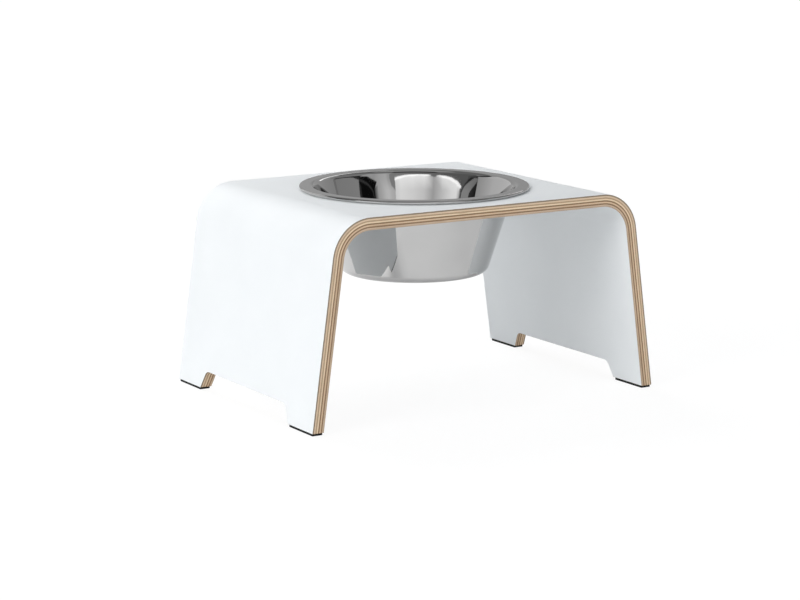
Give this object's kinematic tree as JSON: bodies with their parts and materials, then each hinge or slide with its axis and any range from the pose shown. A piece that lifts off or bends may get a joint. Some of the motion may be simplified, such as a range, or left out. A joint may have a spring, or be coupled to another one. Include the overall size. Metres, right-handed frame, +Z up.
{
  "type": "dog feeder stand",
  "caption": "Raised feeder: a bent plywood arch with white laminate faces on notched feet, holding a lift-out steel bowl in its top.",
  "frame": {"origin": "on the floor, under the middle of the top and of the bowl", "axes": "+X across the legs to the right, +Y from the front edge to the rear edge, +Z up"},
  "size_m": [0.3914, 0.273, 0.2037],
  "materials": {
    "white_laminate": "satin",
    "long_grain_veneer": "satin",
    "cross_grain_veneer": "satin",
    "polished_steel": "polished",
    "pad_rubber": "matte"
  },
  "bodies": {
    "stand": {"outer_laminate": "white_laminate", "face_veneer_outer": "long_grain_veneer", "cross_veneer_outer": "cross_grain_veneer", "core_veneer_outer": "long_grain_veneer", "cross_veneer_middle": "cross_grain_veneer", "core_veneer_inner": "long_grain_veneer", "cross_veneer_inner": "cross_grain_veneer", "face_veneer_inner": "long_grain_veneer", "inner_laminate": "white_laminate", "front_left_pad": "pad_rubber", "front_right_pad": "pad_rubber", "rear_left_pad": "pad_rubber", "rear_right_pad": "pad_rubber"},
    "bowl": {"bowl": "polished_steel"}
  },
  "joints": [
    {"name": "bowl_lift", "type": "slide", "parent": "stand", "child": "bowl", "axis": [0, 0, 1], "range_m": [0, 0.12]}
  ]
}
